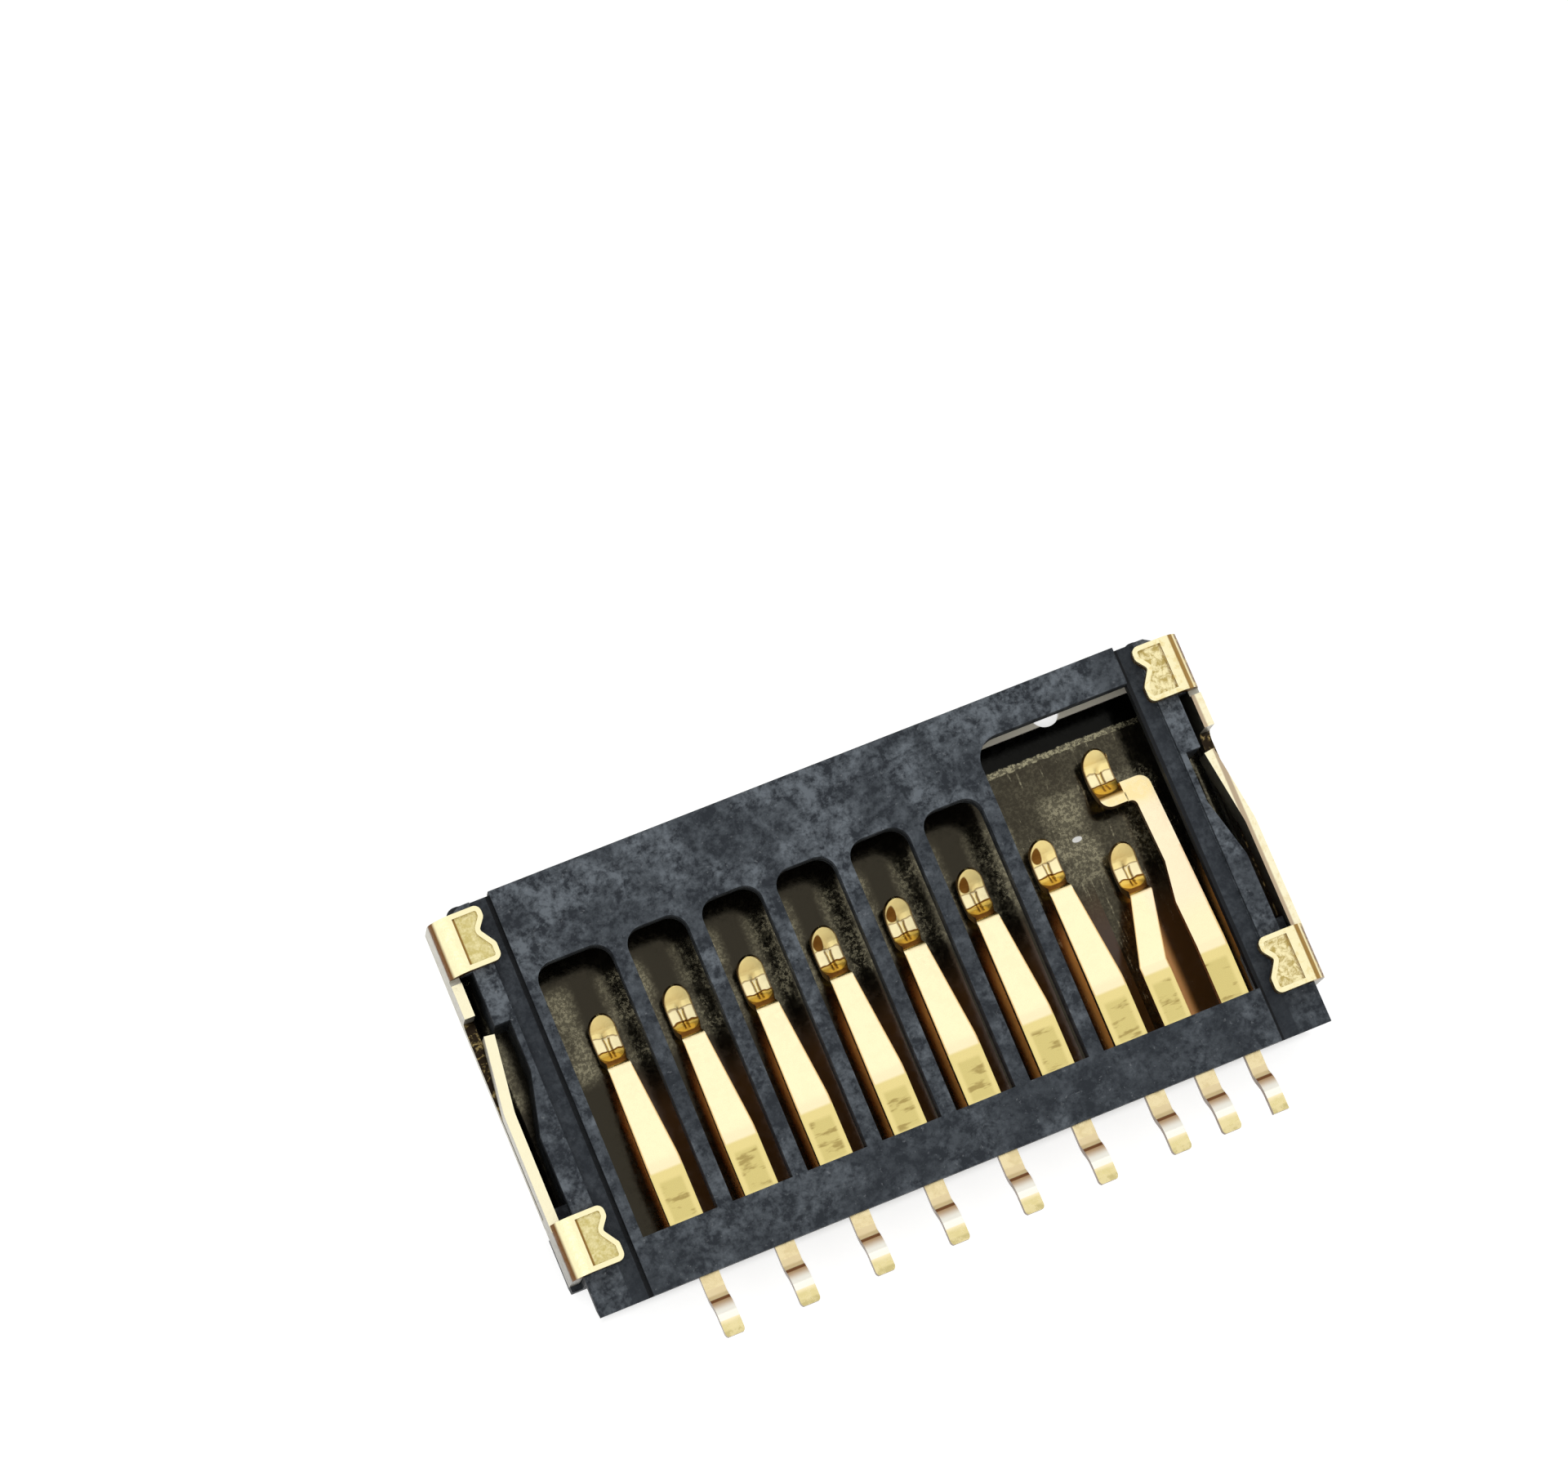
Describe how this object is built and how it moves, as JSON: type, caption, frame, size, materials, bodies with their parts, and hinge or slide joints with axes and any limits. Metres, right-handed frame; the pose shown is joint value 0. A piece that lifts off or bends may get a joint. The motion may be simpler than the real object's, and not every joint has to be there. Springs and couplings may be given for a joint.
{
  "type": "microsd card connector",
  "caption": "Surface-mount microSD card socket: a black moulding with gold spring contacts and a folded metal shell.",
  "frame": {"origin": "centre of the shell's outer face: the middle of the width over the two side walls and of the moulding's depth, on the face the socket lies on in the picture", "axes": "+X along the row of contacts, from the first contact to the card detect contact; +Y from the card's mouth and the solder tails to the closed far side; +Z from the shell's outer face to the solder plane, so on a board the row stands with -Z up"},
  "size_m": [0.0112, 0.0069, 0.0012],
  "materials": {
    "housing_plastic": "fine matt moulded, slate black",
    "shell_sheet": "satin plated sheet, warm grey",
    "contact_gold": "gold plated, smooth"
  },
  "bodies": {
    "root": {"housing": "housing_plastic", "shell": "shell_sheet", "contact_1": "contact_gold", "contact_2": "contact_gold", "contact_3": "contact_gold", "contact_4": "contact_gold", "contact_5": "contact_gold", "contact_6": "contact_gold", "contact_7": "contact_gold", "contact_8": "contact_gold", "detect_contact": "contact_gold"}
  },
  "joints": []
}
